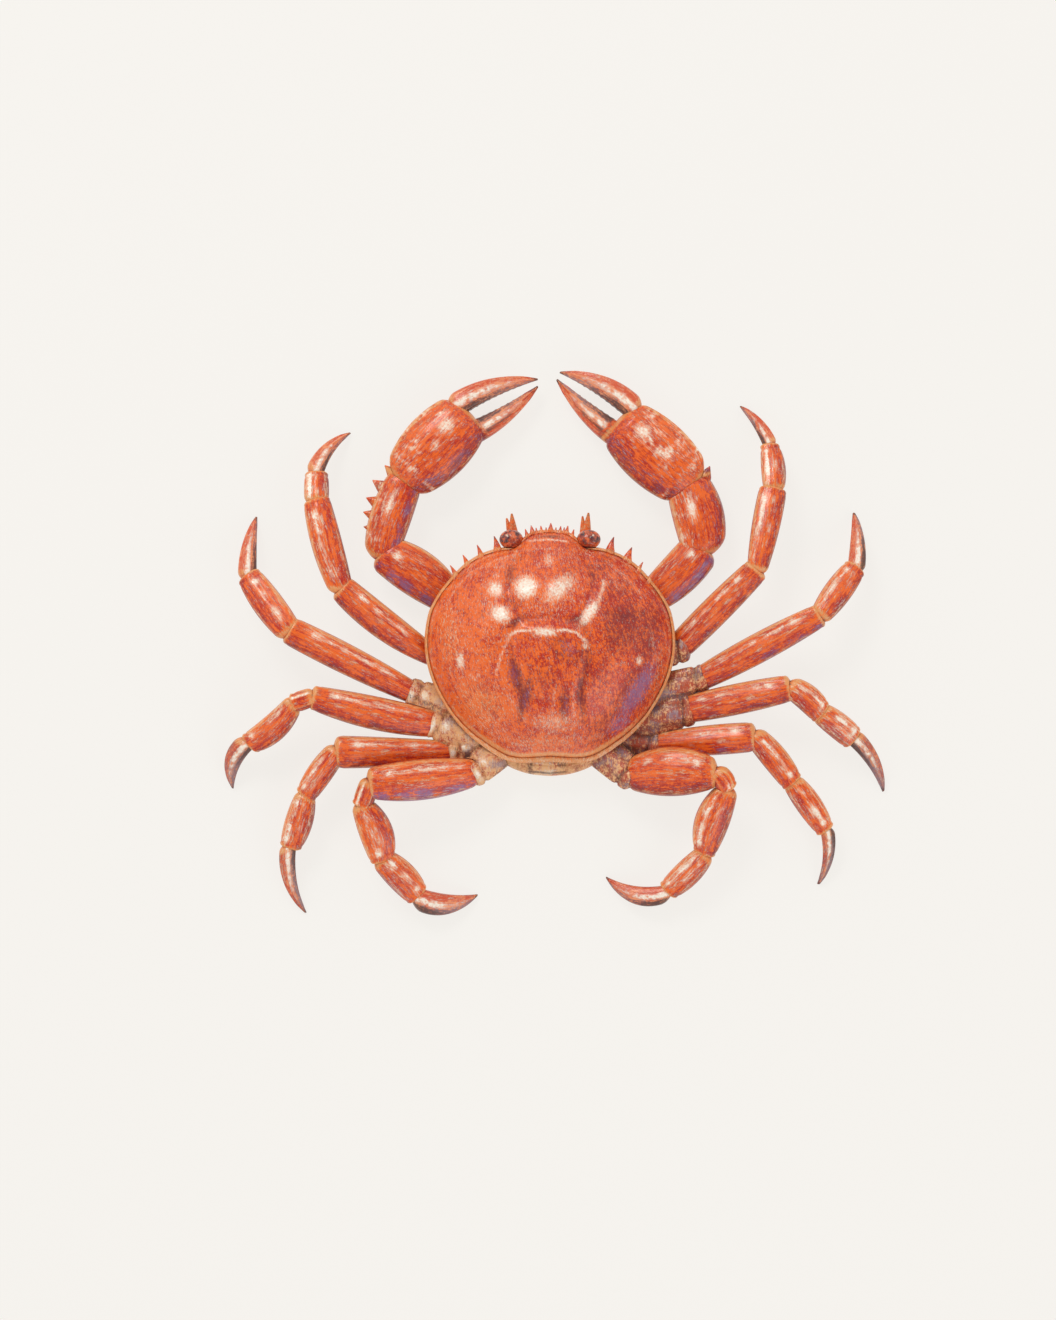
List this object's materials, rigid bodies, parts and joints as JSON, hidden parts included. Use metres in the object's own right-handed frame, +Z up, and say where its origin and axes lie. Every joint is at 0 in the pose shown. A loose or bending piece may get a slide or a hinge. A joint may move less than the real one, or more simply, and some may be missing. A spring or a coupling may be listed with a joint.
{
  "type": "cooked crab",
  "caption": "Whole cooked crab lying flat on its belly: round domed back shell, toothed front edge, spread jointed walking legs and a pair of claws curving forwards.",
  "frame": {"origin": "on the flat of the belly, under the middle of the back shell, at the height of the surface the crab lies on", "axes": "+X towards the crab's legs on the right as seen from above, +Y towards the claws, +Z up out of the back shell"},
  "size_m": [0.3334, 0.2742, 0.0504],
  "materials": {
    "shell_red": "cooked orange-red shell, mottled, with a moist gloss",
    "shell_cream": "pale cream-orange underside shell, satin",
    "shell_dusky": "mauve-brown tips of legs and fingers, satin",
    "eye_black": "glossy black eye"
  },
  "bodies": {
    "root": {"back_shell": "shell_red", "belly": "shell_cream", "claw_left_arm": "shell_red", "claw_left_finger": "shell_dusky", "claw_left_palm": "shell_red", "claw_left_wrist": "shell_red", "claw_right_arm": "shell_red", "claw_right_finger": "shell_dusky", "claw_right_palm": "shell_red", "claw_right_wrist": "shell_red", "eye_left": "eye_black", "eye_right": "eye_black", "feeler_left": "shell_red", "feeler_right": "shell_red", "leg_left_1_foot": "shell_red", "leg_left_1_shin": "shell_red", "leg_left_1_thigh": "shell_red", "leg_left_1_tip": "shell_dusky", "leg_left_2_shin": "shell_red", "leg_left_2_thigh": "shell_red", "leg_left_2_tip": "shell_dusky", "leg_left_3_knee": "shell_red", "leg_left_3_shin": "shell_red", "leg_left_3_thigh": "shell_red", "leg_left_3_tip": "shell_dusky", "leg_left_4_foot": "shell_red", "leg_left_4_shin": "shell_red", "leg_left_4_thigh": "shell_red", "leg_left_4_tip": "shell_dusky", "leg_left_5_foot": "shell_red", "leg_left_5_knee": "shell_red", "leg_left_5_shin": "shell_red", "leg_left_5_thigh": "shell_red", "leg_left_5_tip": "shell_dusky", "leg_right_1_foot": "shell_red", "leg_right_1_shin": "shell_red", "leg_right_1_thigh": "shell_red", "leg_right_1_tip": "shell_dusky", "leg_right_2_shin": "shell_red", "leg_right_2_thigh": "shell_red", "leg_right_2_tip": "shell_dusky", "leg_right_3_foot": "shell_red", "leg_right_3_shin": "shell_red", "leg_right_3_thigh": "shell_red", "leg_right_3_tip": "shell_dusky", "leg_right_4_foot": "shell_red", "leg_right_4_shin": "shell_red", "leg_right_4_thigh": "shell_red", "leg_right_4_tip": "shell_dusky", "leg_right_5_foot": "shell_red", "leg_right_5_knee": "shell_red", "leg_right_5_shin": "shell_red", "leg_right_5_thigh": "shell_red", "leg_right_5_tip": "shell_dusky", "mouth_plate_left": "shell_cream", "mouth_plate_right": "shell_cream", "tail_flap": "shell_cream"}
  },
  "joints": []
}
